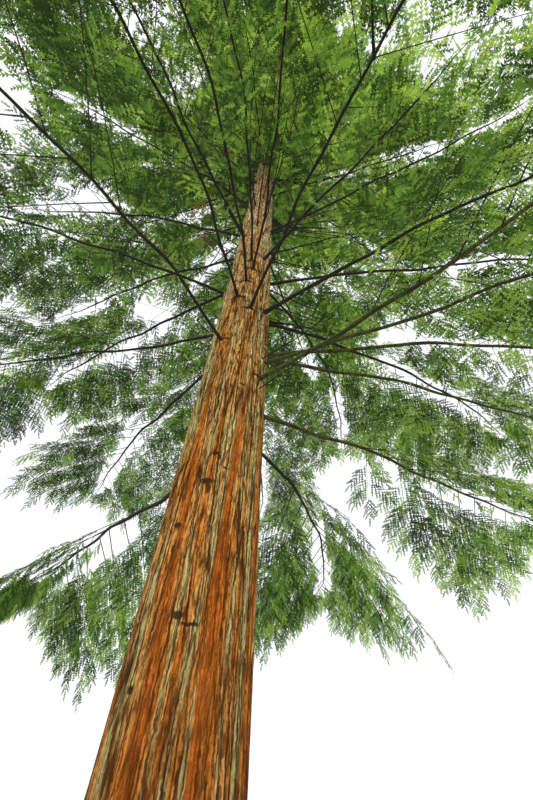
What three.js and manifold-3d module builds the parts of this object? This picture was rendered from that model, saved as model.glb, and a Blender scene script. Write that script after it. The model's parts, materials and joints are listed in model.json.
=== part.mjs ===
// A coast redwood, twenty-five metres tall, upright and grown in the open.
// Millimetres, +Z up. The origin is the middle of the flat cut under the trunk, at ground level.
// Bearings are in degrees round the trunk: 0 points along -Y, 90 along +X.
import * as THREE from "three";
import { mergeVertices } from "three/addons/utils/BufferGeometryUtils.js";
import Module from "manifold-3d";

const wasm = await Module();
wasm.setup();

// Driving dimensions of the trunk
const treeHeight = 25000;
const groundDiameter = 865; // of the straight taper, before the flare
const tipDiameter = 12;
const taperPower = 0.98;
const tipSway = -310; // the tip lies this far along X from the foot
const flareDepth = 165; // added to the radius at the ground
const flareHeight = 420; // over which the flare falls to about a third
const rootLobes = 7;
const lobeDepth = 55;
const lobeHeight = 380;
const trunkSides = 22;
const trunkRings = 17;
const ringCrowding = 1.7; // above 1, the rings stand closer near the ground
const cutMiddle = new THREE.Vector3(70, 40, 0); // keeps the origin inside one triangle of the cut

// Driving dimensions of the crown
const crownRadius = 5300;
const crownWidest = 5000; // height of the widest part
const crownBulge = 1.3;
const crownPoint = 0.8;
const reachScatter = 0.05;

// Limbs: how they rise and how thick they are
const riseAtFoot = 0.1;
const riseAtTop = 0.9;
const riseFrom = 6500; // limbs rise more with height above this
const riseScatter = 0.02;
const sagShare = 0.62; // how much of the rise is lost again on the way to the tip
const droopAtFoot = 0.04; // of the reach, on the lowest limbs
const limbThickness = 0.0047; // radius at the trunk over reach
const limbLeast = 9; // the least radius at the trunk
const limbTipShare = 0.4;
const bareReach = 1450; // where a main bough enters its foliage
const leafyFrom = 0.12; // of the reach, bare stem on the other limbs
const rootDepth = 0.6; // a limb starts at this share of the trunk's radius, and is cut clear
const boughSides = 6;
const boughSteps = 2;
const stemSides = 4;
const stemSteps = 4;
const partedSteps = 3; // on the main stem of a limb that parts
const sideStemSides = 3;
const sideStemSteps = 2;
const slopeStep = 5; // from a point to either side, to find the direction of a stem there
const clearance = 0.3; // between solids that meet

// High limbs part in three close to the trunk, one side stem climbing and the other falling away
const partedFrom = 8900; // height above which they do
const partedLeast = 1300; // and shorter limbs don't
const partedAt = 0.1; // share of the reach
const partedAngle = 50;
const partedTurn = 12; // degrees that a side stem turns back on the way out
const partedClimb = 0.4; // added to the rise of one side stem, taken from the other
const partedShare = 0.8; // length of a side stem over the limb's reach
const partedScatter = 0.1;
const partedThickness = 0.7; // of a side stem over the main stem

// Foliage: three-sided twigs on each stem, each broadening into a toothed frond of needles
const stemShare = 0.76; // of the reach, and the end frond takes over
const endOverlap = 0.1; // how far the end frond starts back in the stem, over what is left of it
const firstTwig = 0.08; // places along the leafy part of the stem, as shares of it
const lastTwig = 0.9;
const twigPlaceScatter = 0.02;
const pairsOnParted = 1; // pairs of twigs on each stem of a parted limb
const pairsOnLong = 3;
const pairsOnShort = 2;
const twigAngle = 50;
const twigScatter = 10;
const frondLength = 0.48; // of the limb's reach, where the mass is widest
const frondLeast = 340;
const frondMost = 1900;
const frondScatter = 0.08;
const frondWidth = 0.64; // of its length
const frondThickness = 0.03; // of its length
const frondFold = 0.2; // how far its teeth hang below its rib, over its length
const massFoot = 0.22; // a mass swells and narrows along its stem as a sine does between these
const massEnd = 0.9; // shares of its half turn
const massFullness = 0.8;
const hangLow = 26; // degrees that fronds hang below level, low in the crown
const hangHigh = 2;
const hangScatter = 0.4;
const tiltUp = 30; // degrees that fronds turn up and down, high in the crown
const tiltDown = 24;
const rollLow = 12; // degrees that fronds lean to either side about their own line
const rollHigh = 42;
const steepShare = 0.35; // of the way up, where tilt and roll are in full
const shorter = [1, 0.8, 0.64, 0.5, 0.38]; // a frond that leaves its space is tried shorter, then skipped
const frondOutline = [
  [0, 0],
  [0.06, 0.06],
  [0.42, 1],
  [0.53, 0.52],
  [0.75, 0.8],
  [1, 0],
]; // one side of the blade to its tip, as shares of the length and of half the width
const frondMiddle = 0.52;
const twigHeight = 0.02; // of the length

// Which draw of the seeded rule each scattered value takes
const draws = { reach: 1, rise: 2, part: 3, spiral: 5, place: 10, angle: 30, hang: 50, size: 70, roll: 90 };

// Each mass keeps to its own space: the points nearer to its stems than to any other limb's
const flatness = 1.3; // heights count this much more than widths
const spaceMargin = 35;
const trunkMargin = 60;
const samplesPerEdge = 3;
const samplesPerStem = 20;

// The main boughs: height on the trunk, bearing there, and how far the bearing turns on the way out
const mainBoughs = [
  { height: 3550, bearing: -150, turn: 4 },
  { height: 4250, bearing: 108, turn: 0 },
  { height: 4440, bearing: 47, turn: -11 },
  { height: 4800, bearing: 63, turn: -10 },
  { height: 4930, bearing: -36, turn: -13 },
  { height: 5050, bearing: 75, turn: 2 },
  { height: 5080, bearing: 92, turn: 2 },
  { height: 5600, bearing: 9, turn: 10 },
  { height: 5640, bearing: -119, turn: 9 },
  { height: 5745, bearing: 47, turn: 2 },
  { height: 5850, bearing: -20, turn: -14 },
  { height: 6270, bearing: -76, turn: -8 },
  { height: 6300, bearing: -7, turn: -21 },
];

// Other limbs are leafy from near the trunk
const leafyLimbs = [
  { height: 3960, bearing: 134, turn: 22 },
  { height: 4700, bearing: -178, turn: 0 },
  { height: 5280, bearing: -146, turn: -5 },
  { height: 5500, bearing: 163, turn: 5 },
  { height: 5900, bearing: 96, turn: 12 },
  { height: 6690, bearing: 4, turn: -8 },
  { height: 6760, bearing: 73, turn: 0 },
  { height: 6850, bearing: -127, turn: -3 },
  { height: 6950, bearing: -3, turn: -17 },
  { height: 7090, bearing: 124, turn: 22 },
  { height: 7450, bearing: -171, turn: 0 },
  { height: 7880, bearing: -117, turn: -4 },
  { height: 7920, bearing: -40, turn: 6 },
  { height: 8500, bearing: -90, turn: -5 },
  { height: 8600, bearing: 60, turn: -7 },
];

// Above them the limbs follow a spiral
const spiralCount = 18;
const spiralFrom = 8950;
const spiralTo = 24150;
const spiralStart = 152; // bearing of its first limb
const spiralStep = 137.5;
const spiralTurn = 3; // the most that one of its limbs turns on the way out

const up = new THREE.Vector3(0, 0, 1);
const { clamp, degToRad: radians, lerp } = THREE.MathUtils;

// The seeded rule: a number from 0 to 1 for each pair of whole numbers
function chance(limb, item) {
  const wave = Math.sin(limb * 12.9898 + item * 78.233) * 43758.5453;
  return wave - Math.floor(wave);
}

// The same as a number from -1 to 1
function spread(limb, item) {
  return 2 * chance(limb, item) - 1;
}

// The trunk's axis and radius
function trunkAxis(height) {
  return new THREE.Vector3(tipSway * (height / treeHeight) ** 2, 0, height);
}

function taperRadius(height) {
  const left = Math.max(1 - height / treeHeight, 0);
  return tipDiameter / 2 + ((groundDiameter - tipDiameter) / 2) * left ** taperPower;
}

function trunkRadius(height, angle) {
  const flare = flareDepth * Math.exp(-height / flareHeight);
  const lobe = lobeDepth * Math.exp(-height / lobeHeight) * Math.cos(rootLobes * angle);
  return taperRadius(height) + flare + lobe;
}

// How far a limb at this height reaches from the trunk's axis
function crownReach(height) {
  const share = clamp((height - crownWidest) / (treeHeight - crownWidest), 0, 1);
  return crownRadius * (1 - share ** crownBulge) ** crownPoint;
}

// A closed geometry, with its shared vertices merged, as a solid
function solidOf(geometry) {
  geometry.deleteAttribute("normal");
  geometry.deleteAttribute("uv");
  const merged = mergeVertices(geometry, 1e-3);
  return new wasm.Manifold(
    new wasm.Mesh({
      numProp: 3,
      vertProperties: merged.attributes.position.array,
      triVerts: new Uint32Array(merged.index.array),
    }),
  );
}

function geometryOf(solid) {
  const mesh = solid.getMesh();
  const geometry = new THREE.BufferGeometry();
  geometry.setAttribute("position", new THREE.BufferAttribute(mesh.vertProperties.slice(), 3));
  geometry.setIndex(new THREE.BufferAttribute(mesh.triVerts.slice(), 1));
  geometry.computeVertexNormals();
  return geometry;
}

// A cylinder of unit size whose every vertex is moved to place(share of its length, across, over)
function bentCylinder(sides, steps, place) {
  const geometry = new THREE.CylinderGeometry(1, 1, 1, sides, steps);
  const position = geometry.attributes.position;
  for (let i = 0; i < position.count; i++) {
    const point = place(position.getY(i) + 0.5, position.getX(i), position.getZ(i));
    position.setXYZ(i, point.x, point.y, point.z);
  }
  return solidOf(geometry);
}

// A point beside a line that runs along a direction
function beside(point, along, across, over) {
  const side = along.clone().cross(up).normalize();
  return point.addScaledVector(side, across).addScaledVector(side.clone().cross(along), over);
}

// The trunk from the flat cut to its tip, swollen by extra where it is to cut the limbs
function trunkSolid(extra) {
  return bentCylinder(trunkSides, trunkRings, (share, across, over) => {
    const axis = trunkAxis(treeHeight * share ** ringCrowding);
    const inMiddle = Math.hypot(across, over) < 0.5;
    if (inMiddle) return share < 0.5 ? cutMiddle.clone() : axis;
    const angle = Math.atan2(across, over);
    const radius = trunkRadius(axis.z, angle) + extra;
    return axis.add(new THREE.Vector3(Math.cos(angle), Math.sin(angle), 0).multiplyScalar(radius));
  });
}

// One stem: a curved, tapering line that leaves its root at a bearing
class Stem {
  constructor({ root, bearing, turn, start, reach, rise, droop, thickness }) {
    Object.assign(this, { root, bearing, turn, start, reach, rise, droop, thickness });
  }

  at(out) {
    const bearing = radians(this.bearing + (this.turn * out) / this.reach);
    const lift = this.rise * out - (this.droop * out * out) / this.reach;
    const away = new THREE.Vector3(out * Math.sin(bearing), -out * Math.cos(bearing), lift);
    return away.add(this.root);
  }

  along(out) {
    return this.at(out + slopeStep)
      .sub(this.at(out - slopeStep))
      .normalize();
  }

  radius(out) {
    return this.thickness * (1 - (1 - limbTipShare) * (out / this.reach));
  }

  tube(from, to, sides, steps) {
    return bentCylinder(sides, steps, (share, across, over) => {
      const out = lerp(from, to, share);
      const radius = this.radius(out);
      return beside(this.at(out), this.along(out), across * radius, over * radius);
    });
  }

  // The middle of such a tube, which is straight between its steps
  middleOf(from, to, steps, share) {
    const step = Math.min(Math.floor(share * steps), steps - 1);
    const ends = [step, step + 1].map((k) => this.at(lerp(from, to, k / steps)));
    return ends[0].lerp(ends[1], share * steps - step);
  }

  line() {
    const shares = Array.from({ length: samplesPerStem }, (_, i) => i / (samplesPerStem - 1));
    return shares.map((share) => this.at(lerp(this.start, this.reach, share)));
  }
}

// One limb: its main stem, with two side stems high in the crown
class Limb {
  constructor({ height, bearing, turn }, number) {
    const reach = crownReach(height) * (1 + reachScatter * spread(number, draws.reach));
    const steepness = clamp((height - riseFrom) / (treeHeight - riseFrom), 0, 1);
    const rise = lerp(riseAtFoot, riseAtTop, steepness) + riseScatter * spread(number, draws.rise);
    const droop = rise * sagShare + droopAtFoot * (1 - steepness);
    const thickness = Math.max(limbThickness * reach, limbLeast);
    const start = taperRadius(height);
    const main = { root: trunkAxis(height), bearing, turn, start, reach, rise, droop, thickness };
    this.number = number;
    this.reach = reach;
    this.steepness = steepness;
    this.parted = height > partedFrom && reach > partedLeast;
    this.stems = [new Stem(main)];
    if (this.parted) this.stems.push(this.sideStem(main, -1), this.sideStem(main, 1));
    this.lines = this.stems.map((stem) => stem.line());
  }

  sideStem(main, side) {
    const climbs = this.number % 2 === 0 ? side : -side;
    const scatter = 1 + partedScatter * spread(this.number, draws.part + side);
    return new Stem({
      root: this.stems[0].at(lerp(main.start, main.reach, partedAt)),
      bearing: main.bearing + side * partedAngle,
      turn: -side * partedTurn,
      start: 0,
      reach: main.reach * partedShare * scatter,
      rise: main.rise + climbs * partedClimb,
      droop: main.droop,
      thickness: main.thickness * partedThickness,
    });
  }

  pairsOfTwigs() {
    if (this.parted) return pairsOnParted;
    return this.reach > partedLeast ? pairsOnLong : pairsOnShort;
  }
}

// Distance from a point to a limb's stems, with heights counted more
function limbDistance(point, limb) {
  const ab = new THREE.Vector3();
  const ap = new THREE.Vector3();
  let best = Infinity;
  for (const line of limb.lines) {
    for (let i = 1; i < line.length; i++) {
      ab.subVectors(line[i], line[i - 1]);
      ap.subVectors(point, line[i - 1]);
      ab.z *= flatness;
      ap.z *= flatness;
      const share = clamp(ap.dot(ab) / ab.lengthSq(), 0, 1);
      best = Math.min(best, ap.addScaledVector(ab, -share).length());
    }
  }
  return best;
}

function keepsToItsSpace(points, limb, limbs) {
  return points.every((point) => {
    const axis = trunkAxis(point.z);
    const fromTrunk = Math.hypot(point.x - axis.x, point.y - axis.y);
    if (fromTrunk < taperRadius(point.z) + trunkMargin) return false;
    const own = limbDistance(point, limb) + spaceMargin;
    return limbs.every((other) => other === limb || limbDistance(point, other) > own);
  });
}

// Points along the edges of a closed outline
function pointsAlong(corners) {
  const shares = Array.from({ length: samplesPerEdge }, (_, k) => k / samplesPerEdge);
  return corners.flatMap((corner, i) => {
    const next = corners[(i + 1) % corners.length];
    return shares.map((share) => corner.clone().lerp(next, share));
  });
}

// A frond of needles: the rim of its twig and blade, whose teeth hang below its rib
function frondRim({ base, along, side, length }) {
  const face = side.clone().cross(along);
  const otherSide = frondOutline.slice(1, -1).reverse();
  return [...frondOutline, ...otherSide].map(([far, wide], i) => {
    const across = ((i < frondOutline.length ? wide : -wide) * frondWidth * length) / 2;
    const onRib = base.clone().addScaledVector(along, far * length);
    return onRib.addScaledVector(side, across).addScaledVector(face, -wide * frondFold * length);
  });
}

// Its solid: a three-sided twig from a point in the stem, a ridge on the blade and a point below
function frondSolid(frond) {
  const { base, along, side, length } = frond;
  const face = side.clone().cross(along);
  const onRib = (far, height) =>
    base
      .clone()
      .addScaledVector(along, far * length)
      .addScaledVector(face, height * length);
  const rim = frondRim(frond);
  const last = rim.length - 1;
  const twigTop = rim.length;
  const middleTop = twigTop + 1;
  const middleBelow = twigTop + 2;
  const faces = [[0, 1, twigTop], [0, twigTop, last], [0, last, 1], [1, last, middleBelow]];
  faces.push([1, middleTop, twigTop], [last, twigTop, middleTop]);
  for (let i = 1; i < last; i++) {
    faces.push([i, i + 1, middleTop], [i + 1, i, middleBelow]);
  }
  const geometry = new THREE.BufferGeometry().setFromPoints([
    ...rim,
    onRib(frondOutline[1][0], twigHeight),
    onRib(frondMiddle, frondThickness / 2),
    onRib(frondMiddle, -frondThickness / 2),
  ]);
  geometry.setIndex(faces.flat());
  return solidOf(geometry);
}

// How wide a mass is, as a share of its widest, at a share of the way along its stem
function widthAlong(share) {
  return Math.sin(Math.PI * lerp(massFoot, massEnd, share)) ** massFullness;
}

// The frond of a given number, at a point of a stem
function frondOn(limb, number, share, base, outward) {
  const scatter = (draw) => spread(limb.number, draw + number);
  const right = number % 2 === 0 ? 1 : -1;
  const angle = radians(twigAngle + twigScatter * scatter(draws.angle));
  const hang = lerp(hangLow, hangHigh, limb.steepness) * (1 + hangScatter * scatter(draws.hang));
  const high = Math.min(1, limb.steepness / steepShare);
  const tilt = high * (number % 4 < 2 ? tiltUp : -tiltDown);
  const roll = radians(lerp(rollLow, rollHigh, high)) * scatter(draws.roll);
  const sideways = outward.clone().cross(up).normalize().multiplyScalar(right);
  const along = outward.clone().multiplyScalar(Math.cos(angle));
  along.addScaledVector(sideways, Math.sin(angle));
  along.addScaledVector(up, Math.sin(radians(tilt - hang))).normalize();
  const side = along.clone().cross(up).normalize().applyAxisAngle(along, roll);
  const size = widthAlong(share) * (1 + frondScatter * scatter(draws.size));
  const length = clamp(frondLength * limb.reach, frondLeast, frondMost) * size;
  return { base, along, side, length };
}

// The frond that takes over where the stem ends, and reaches its full length
function endFrond(stem, ends) {
  const base = stem.at(ends);
  const tip = stem.at(stem.reach).sub(base);
  const length = tip.length() * (1 + endOverlap);
  const along = tip.clone().normalize();
  const side = along.clone().cross(up).normalize();
  return { base: base.addScaledVector(tip, -endOverlap), along, side, length };
}

// The solid of a frond, at the longest of its lengths that keeps to the limb's space
function fittedFrond(frond, limb, limbs) {
  for (const share of shorter) {
    const tried = { ...frond, length: frond.length * share };
    const blade = frondRim(tried).slice(2, -1);
    if (keepsToItsSpace(pointsAlong(blade), limb, limbs)) return [frondSolid(tried)];
  }
  return [];
}

// The solids of a limb's main stem, or of a side stem: its tube and its fronds
function leafyStem(limb, limbs, stem, from, leafy) {
  const k = limb.stems.indexOf(stem);
  const mainSteps = limb.parted ? partedSteps : stemSteps;
  const steps = k > 0 ? sideStemSteps : mainSteps;
  const sides = k > 0 ? sideStemSides : stemSides;
  const ends = lerp(stem.start, stem.reach, stemShare);
  const count = 2 * limb.pairsOfTwigs();
  const fronds = Array.from({ length: count }, (_, i) => {
    const scatter = twigPlaceScatter * spread(limb.number, draws.place + i);
    const share = lerp(firstTwig, lastTwig, i / (count - 1)) + scatter;
    const out = lerp(leafy, ends, share);
    const base = stem.middleOf(from, ends, steps, (out - from) / (ends - from));
    return frondOn(limb, i + 2 * k, share, base, stem.along(out));
  });
  fronds.push(endFrond(stem, ends));
  const solids = fronds.flatMap((frond) => fittedFrond(frond, limb, limbs));
  return [stem.tube(from, ends, sides, steps), ...solids];
}

// The foliage of a main bough, which goes on from the bough's tip
function boughFoliage(limb, limbs) {
  return wasm.Manifold.union(leafyStem(limb, limbs, limb.stems[0], bareReach + clearance, bareReach));
}

// The foliage of any other limb, with its stem, which is cut clear of the trunk
function limbFoliage(limb, limbs, trunkCutter) {
  const solids = limb.stems.flatMap((stem) => {
    const leafy = stem.start + leafyFrom * stem.reach;
    return leafyStem(limb, limbs, stem, stem.start * rootDepth, leafy);
  });
  return wasm.Manifold.union(solids).subtract(trunkCutter);
}

function boughSolid(limb, trunkCutter) {
  const stem = limb.stems[0];
  return stem.tube(stem.start * rootDepth, bareReach, boughSides, boughSteps).subtract(trunkCutter);
}

// Colours
const barkMaterial = new THREE.MeshStandardMaterial({ color: 0xa0602f, roughness: 0.95, metalness: 0 });
const boughMaterial = new THREE.MeshStandardMaterial({ color: 0x3d3022, roughness: 0.9, metalness: 0 });
const needleMaterial = new THREE.MeshStandardMaterial({ color: 0x4d7f2a, roughness: 0.7, metalness: 0 });

function addMesh(group, name, solid, material) {
  const mesh = new THREE.Mesh(geometryOf(solid), material);
  mesh.name = name;
  group.add(mesh);
}

const spiralLimbs = Array.from({ length: spiralCount }, (_, i) => ({
  height: lerp(spiralFrom, spiralTo, i / (spiralCount - 1)),
  bearing: spiralStart + i * spiralStep,
  turn: spiralTurn * spread(i, draws.spiral),
}));

const limbs = [...mainBoughs, ...leafyLimbs, ...spiralLimbs].map((limb, i) => new Limb(limb, i + 1));

const redwood = new THREE.Group();
const trunkCutter = trunkSolid(clearance);
addMesh(redwood, "trunk", trunkSolid(0), barkMaterial);

for (const limb of limbs) {
  const number = String(limb.number).padStart(2, "0");
  const onBough = limb.number <= mainBoughs.length;
  const foliage = onBough ? boughFoliage(limb, limbs) : limbFoliage(limb, limbs, trunkCutter);
  if (onBough) addMesh(redwood, `bough_${number}`, boughSolid(limb, trunkCutter), boughMaterial);
  addMesh(redwood, `foliage_${number}`, foliage, needleMaterial);
}

export default redwood;
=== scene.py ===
# A coast redwood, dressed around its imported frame.
# Relief bark stands for the trunk and the boughs. Twigs and flat sprays of needles stand for the masses.
import json
import math

import bpy
import numpy as np
from mathutils import Matrix

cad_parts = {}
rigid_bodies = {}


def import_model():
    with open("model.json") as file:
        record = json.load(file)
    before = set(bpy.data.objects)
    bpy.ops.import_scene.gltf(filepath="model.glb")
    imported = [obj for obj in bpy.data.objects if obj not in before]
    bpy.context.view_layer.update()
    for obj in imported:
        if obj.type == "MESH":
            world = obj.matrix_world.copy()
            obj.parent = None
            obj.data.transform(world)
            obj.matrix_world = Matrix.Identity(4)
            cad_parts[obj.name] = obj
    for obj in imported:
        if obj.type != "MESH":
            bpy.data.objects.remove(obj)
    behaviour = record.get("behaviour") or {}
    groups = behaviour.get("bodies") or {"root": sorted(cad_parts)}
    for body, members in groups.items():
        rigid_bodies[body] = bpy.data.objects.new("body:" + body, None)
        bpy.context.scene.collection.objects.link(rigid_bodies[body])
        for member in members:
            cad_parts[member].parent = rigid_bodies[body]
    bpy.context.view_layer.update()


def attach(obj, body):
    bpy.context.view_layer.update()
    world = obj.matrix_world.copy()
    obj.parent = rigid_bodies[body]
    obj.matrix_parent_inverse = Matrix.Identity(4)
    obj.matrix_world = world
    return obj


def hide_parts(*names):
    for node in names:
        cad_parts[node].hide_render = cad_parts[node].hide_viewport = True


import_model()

upward = np.array([0.0, 0.0, 1.0])
goldenAngle = 137.5

# The tree's own measures, in metres, as the solids have them
tree = {
    "height": 25.0,
    "groundDiameter": 0.865,
    "tipDiameter": 0.012,
    "taperPower": 0.98,
    "tipSway": -0.31,
    "flareDepth": 0.165,
    "flareHeight": 0.42,
    "rootLobes": 7,
    "lobeDepth": 0.055,
    "lobeHeight": 0.38,
}
crown = {
    "radius": 5.3,
    "widest": 5.0,
    "bulge": 1.3,
    "point": 0.8,
    "reachScatter": 0.05,
}
limbRule = {
    "riseAtFoot": 0.1,
    "riseAtTop": 0.9,
    "riseFrom": 6.5,
    "riseScatter": 0.02,
    "sagShare": 0.62,
    "droopAtFoot": 0.04,
    "thickness": 0.0047,
    "least": 0.009,
    "tipShare": 0.4,
    "bareReach": 1.45,
    "leafyFrom": 0.12,
    "partedFrom": 8.9,
    "partedLeast": 1.3,
    "partedAt": 0.1,
    "partedAngle": 50,
    "partedTurn": 12,
    "partedClimb": 0.4,
    "partedShare": 0.8,
    "partedScatter": 0.1,
    "partedThickness": 0.7,
}
spaceRule = {"flatness": 1.3, "margin": 0.035, "trunkMargin": 0.06, "samples": 20, "atOnce": 3000}
# Numbers that set the rule's draws apart
draws = {
    "reach": 1,
    "rise": 2,
    "part": 3,
    "spiral": 5,
    "place": 10,
    "angle": 30,
    "hang": 50,
    "size": 70,
    "roll": 90,
    "waves": 110,
}

# Height on the trunk, bearing there (0 towards the camera, 90 to its right) and turn on the way out
mainBoughs = [
    (3.550, -150, 4),
    (4.250, 108, 0),
    (4.440, 47, -11),
    (4.800, 63, -10),
    (4.930, -36, -13),
    (5.050, 75, 2),
    (5.080, 92, 2),
    (5.600, 9, 10),
    (5.640, -119, 9),
    (5.745, 47, 2),
    (5.850, -20, -14),
    (6.270, -76, -8),
    (6.300, -7, -21),
]
leafyLimbs = [
    (3.960, 134, 22),
    (4.700, -178, 0),
    (5.280, -146, -5),
    (5.500, 163, 5),
    (5.900, 96, 12),
    (6.690, 4, -8),
    (6.760, 73, 0),
    (6.850, -127, -3),
    (6.950, -3, -17),
    (7.090, 124, 22),
    (7.450, -171, 0),
    (7.880, -117, -4),
    (7.920, -40, 6),
    (8.500, -90, -5),
    (8.600, 60, -7),
]
spiral = {"count": 18, "from": 8.95, "to": 24.15, "start": 152, "turn": 3}


# From the first value to the second by a share of the way
def lerp(low, high, share):
    return low + (high - low) * share


# From 0 below the first edge to 1 above the second, eased at both
def smoothStep(low, high, value):
    share = np.clip((value - low) / (high - low), 0, 1)
    return share * share * (3 - 2 * share)


# Vectors over their own lengths
def unit(vectors):
    return vectors / np.maximum(np.linalg.norm(vectors, axis=-1, keepdims=True), 1e-9)


# The level direction square to each vector, on its right
def levelAcross(vectors):
    return unit(np.cross(vectors, upward))


# The first of two square directions, swung towards the second by an angle
def swung(first, second, angle):
    return first * np.cos(angle)[..., None] + second * np.sin(angle)[..., None]


# The seeded rule: the fraction of a large sine, for each pair of whole numbers
def chance(limb, item):
    wave = np.sin(limb * 12.9898 + item * 78.233) * 43758.5453
    return wave - np.floor(wave)


# The same, from -1 to 1
def spread(limb, item):
    return 2 * chance(limb, item) - 1


# The trunk's axis: its sway grows as the square of the height
def trunkAxis(height):
    height = np.asarray(height, float)
    sway = tree["tipSway"] * (height / tree["height"]) ** 2
    return np.stack([sway, np.zeros_like(height), height], -1)


# The radius without the flare: from the ground to the tip by a power of what is left of the height
def taperRadius(height):
    left = np.maximum(1 - np.asarray(height, float) / tree["height"], 0)
    thin = tree["tipDiameter"] / 2
    return thin + (tree["groundDiameter"] / 2 - thin) * left ** tree["taperPower"]


# The radius with the flare and its lobes, which both fall away exponentially with height
def trunkRadius(height, angle):
    flare = tree["flareDepth"] * np.exp(-height / tree["flareHeight"])
    lobes = tree["lobeDepth"] * np.exp(-height / tree["lobeHeight"]) * np.cos(tree["rootLobes"] * angle)
    return taperRadius(height) + flare + lobes


# The crown's reach is full up to its widest height, and closes at the tip by two powers of the share above
def crownReach(height):
    share = np.clip((height - crown["widest"]) / (tree["height"] - crown["widest"]), 0, 1)
    return crown["radius"] * (1 - share ** crown["bulge"]) ** crown["point"]


# A stem's point at a distance out: the bearing turns evenly, and the lift is a rise less a square droop
def stemPoint(stem, out):
    out = np.asarray(out, float)
    bearing = np.radians(stem["bearing"] + stem["turn"] * out / stem["reach"])
    lift = stem["rise"] * out - stem["droop"] * out ** 2 / stem["reach"]
    return stem["root"] + np.stack([out * np.sin(bearing), -out * np.cos(bearing), lift], -1)


# A stem's direction, from the points a short step before and after
def stemDirection(stem, out):
    step = 0.005
    return unit(stemPoint(stem, out + step) - stemPoint(stem, out - step))


# The stems of one limb, by the rule of the solids: its main stem, and two side stems high in the crown
def stemsOf(number, height, bearing, turn):
    rule = limbRule
    reach = crownReach(height) * (1 + crown["reachScatter"] * spread(number, draws["reach"]))
    steepness = min(max((height - rule["riseFrom"]) / (tree["height"] - rule["riseFrom"]), 0), 1)
    rise = lerp(rule["riseAtFoot"], rule["riseAtTop"], steepness)
    rise += rule["riseScatter"] * spread(number, draws["rise"])
    main = {
        "limb": number,
        "limbReach": reach,
        "steepness": steepness,
        "root": trunkAxis(height),
        "bearing": bearing,
        "turn": turn,
        "start": float(taperRadius(height)),
        "reach": reach,
        "rise": rise,
        "droop": rise * rule["sagShare"] + rule["droopAtFoot"] * (1 - steepness),
        "thickness": max(rule["thickness"] * reach, rule["least"]),
        "order": 0,
    }
    onBough = number <= len(mainBoughs)
    main["leafy"] = rule["bareReach"] if onBough else main["start"] + rule["leafyFrom"] * reach
    made = [main]
    if height > rule["partedFrom"] and reach > rule["partedLeast"]:
        root = stemPoint(main, lerp(main["start"], reach, rule["partedAt"]))
        for order, side in enumerate((-1, 1), start=1):
            climbs = side if number % 2 == 0 else -side
            scatter = 1 + rule["partedScatter"] * spread(number, draws["part"] + side)
            stem = dict(main, root=root, order=order, start=0.0, turn=-side * rule["partedTurn"])
            stem["bearing"] = bearing + side * rule["partedAngle"]
            stem["reach"] = reach * rule["partedShare"] * scatter
            stem["rise"] = rise + climbs * rule["partedClimb"]
            stem["thickness"] = main["thickness"] * rule["partedThickness"]
            stem["leafy"] = rule["leafyFrom"] * stem["reach"]
            made.append(stem)
    return made


spiralShares = np.arange(spiral["count"]) / (spiral["count"] - 1)
spiralLimbs = [
    (
        lerp(spiral["from"], spiral["to"], share),
        spiral["start"] + i * goldenAngle,
        spiral["turn"] * spread(i, draws["spiral"]),
    )
    for i, share in enumerate(spiralShares)
]
allLimbs = mainBoughs + leafyLimbs + spiralLimbs
stems = [stem for number, limb in enumerate(allLimbs, start=1) for stem in stemsOf(number, *limb)]

forked = {"limb": 8, "at": 2.9, "thinner": 0.6}
forkedWay = {"bearing": -25, "turn": 10, "reach": 1.9, "rise": 0.05, "leafy": 0.25, "start": 0.0, "order": 1}


# One bough forks, and its second arm bears sprays as a side stem does
def forkedArm():
    main = stems[forked["limb"] - 1]
    thickness = main["thickness"] * forked["thinner"]
    return dict(main, root=stemPoint(main, forked["at"]), thickness=thickness, **forkedWay)


stems.append(forkedArm())
print("stems", len(stems))

# The photograph's frame, and the pixels that place the camera in it
photo = {
    "size": (533, 800),
    "focal": 378,
    "zenith": (293, 20),  # where the upright lines meet
    "foot": (168, 800),  # the trunk's middle at the lower edge
    "distance": 2.92,
    "eyeHeight": 1.5,
    "nearest": 0.05,
    "outside": -1e4,  # in pixels, for what is nearer than that or behind the camera
    "raySteps": (1.5, 30, 0.002),
    "sensor": 36,  # in millimetres
    "clipEnd": 500,
}


# A pixel as a direction in the camera's own axes: right, up and back
def pixelDirection(pixel):
    across = pixel[0] - photo["size"][0] / 2
    down = pixel[1] - photo["size"][1] / 2
    return np.array([across, -down, -photo["focal"]], float)


# World axes as rows in the camera's: up is the way to the zenith, and Y the way to the trunk's foot
def cameraAxes():
    up = unit(pixelDirection(photo["zenith"]))
    toFoot = pixelDirection(photo["foot"])
    ahead = unit(toFoot - (toFoot @ up) * up)
    return np.stack([np.cross(ahead, up), ahead, up])


cameraTurn = cameraAxes()
cameraPlace = np.array([0.0, -photo["distance"], photo["eyeHeight"]])


# Where points fall in the photograph's frame: sideways and down over the depth, times the focal length
def toPixels(points):
    seen = (points - cameraPlace) @ cameraTurn
    depth = np.where(seen[..., 2] < -photo["nearest"], -seen[..., 2], np.nan)
    scale = photo["focal"] / depth
    x = photo["size"][0] / 2 + scale * seen[..., 0]
    y = photo["size"][1] / 2 - scale * seen[..., 1]
    return np.nan_to_num(np.stack([x, y], -1), nan=photo["outside"])


# Whether whole pixels lie in the frame
def inFrame(x, y):
    return (x >= 0) & (x < photo["size"][0]) & (y >= 0) & (y < photo["size"][1])


# The height and angle on the trunk that a pixel shows, found by stepping out along its ray
def pixelOnTrunk(pixel):
    ray = unit(cameraTurn @ pixelDirection(pixel))
    far = np.arange(*photo["raySteps"])
    points = cameraPlace + far[:, None] * ray
    away = points - trunkAxis(points[:, 2])
    hit = np.argmax(np.hypot(away[:, 0], away[:, 1]) < taperRadius(points[:, 2]))
    return points[hit, 2], math.atan2(away[hit, 1], away[hit, 0])


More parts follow.
